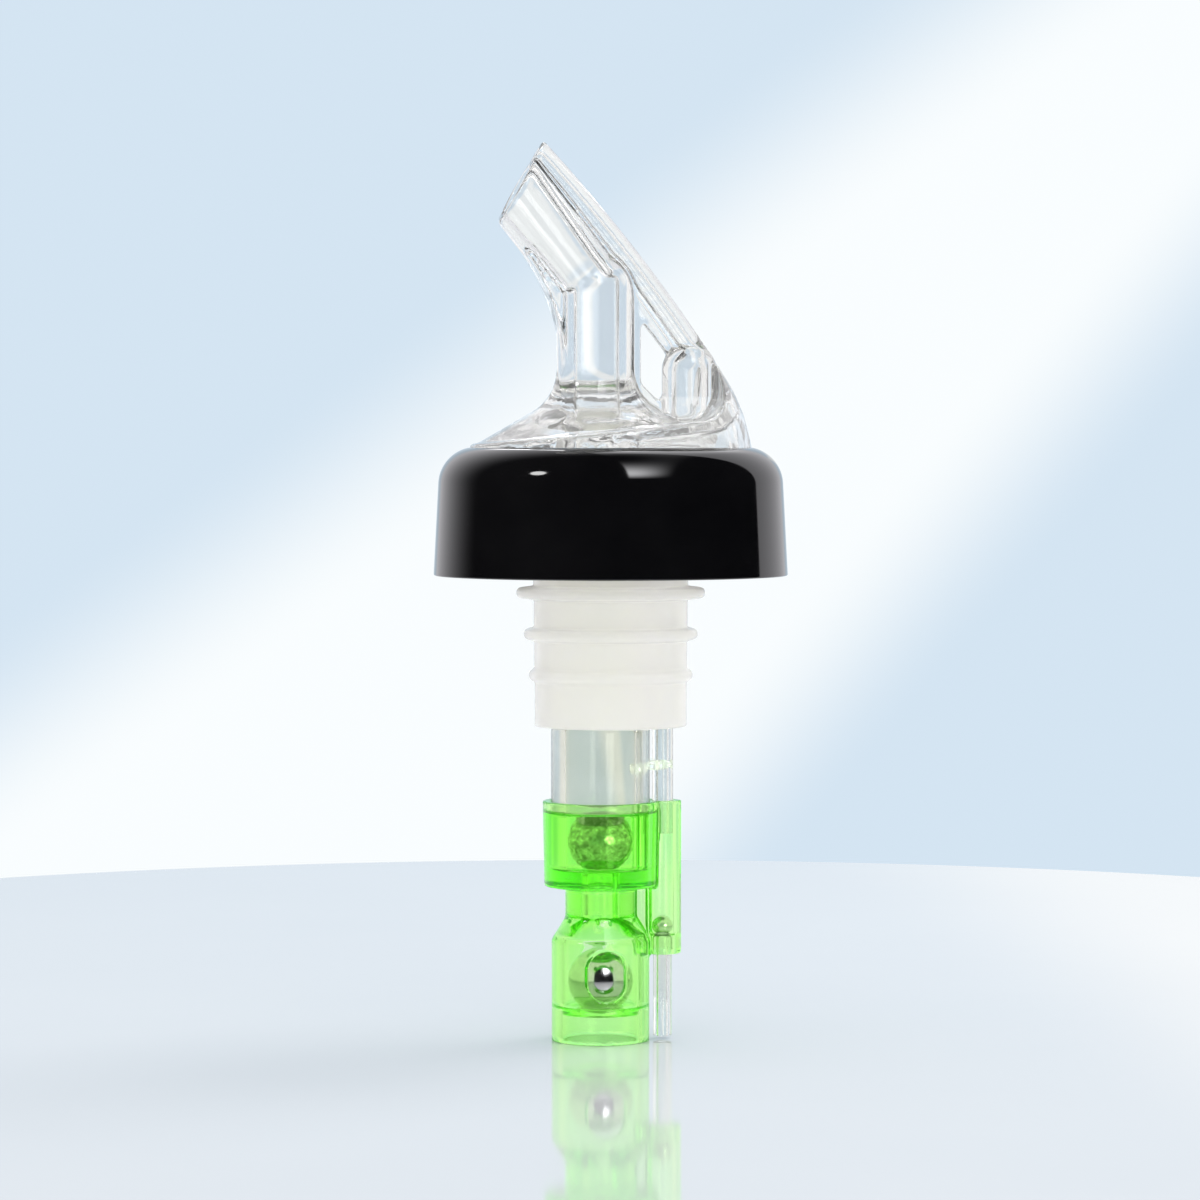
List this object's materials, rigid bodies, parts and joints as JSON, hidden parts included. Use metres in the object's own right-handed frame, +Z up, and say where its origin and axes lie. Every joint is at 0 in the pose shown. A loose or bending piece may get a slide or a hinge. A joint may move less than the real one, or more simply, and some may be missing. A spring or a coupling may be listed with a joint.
{
  "type": "measured bottle pourer",
  "caption": "Measured bottle pourer: clear bent spout on a domed black collar, a ribbed stopper, and tubes down to a green ball chamber whose captive steel balls end each pour.",
  "frame": {"origin": "on the axis of the collar and stopper, level with the lower edge of the ball chamber", "axes": "+Z up along the stopper towards the spout, -X the way the spout pours, +X the side of the air tube, Y across"},
  "size_m": [0.043, 0.043, 0.1092],
  "materials": {
    "clear_plastic": "clear glossy moulded plastic",
    "black_plastic": "polished black moulded plastic",
    "milky_plastic": "soft translucent plastic with a satin skin",
    "green_plastic": "translucent glossy green plastic",
    "steel": "polished steel"
  },
  "bodies": {
    "pourer": {"spout": "clear_plastic", "collar": "black_plastic", "stopper": "milky_plastic", "flow_tube": "clear_plastic", "air_tube": "clear_plastic", "metering_cup": "green_plastic", "ball_retainer": "green_plastic", "air_inlet_tube": "clear_plastic"},
    "metering_ball": {"metering_ball": "steel"},
    "check_ball": {"check_ball": "steel"},
    "breather_ball": {"breather_ball": "steel"}
  },
  "joints": [
    {"name": "metering_ball_travel", "type": "slide", "parent": "pourer", "child": "metering_ball", "axis": [0, 0, 1], "range_m": [0, 0.0415]},
    {"name": "check_ball_travel", "type": "slide", "parent": "pourer", "child": "check_ball", "axis": [0, 0, 1], "range_m": [0, 0.0036]},
    {"name": "breather_ball_travel", "type": "slide", "parent": "pourer", "child": "breather_ball", "axis": [0, 0, 1], "range_m": [0, 0.0101]}
  ]
}
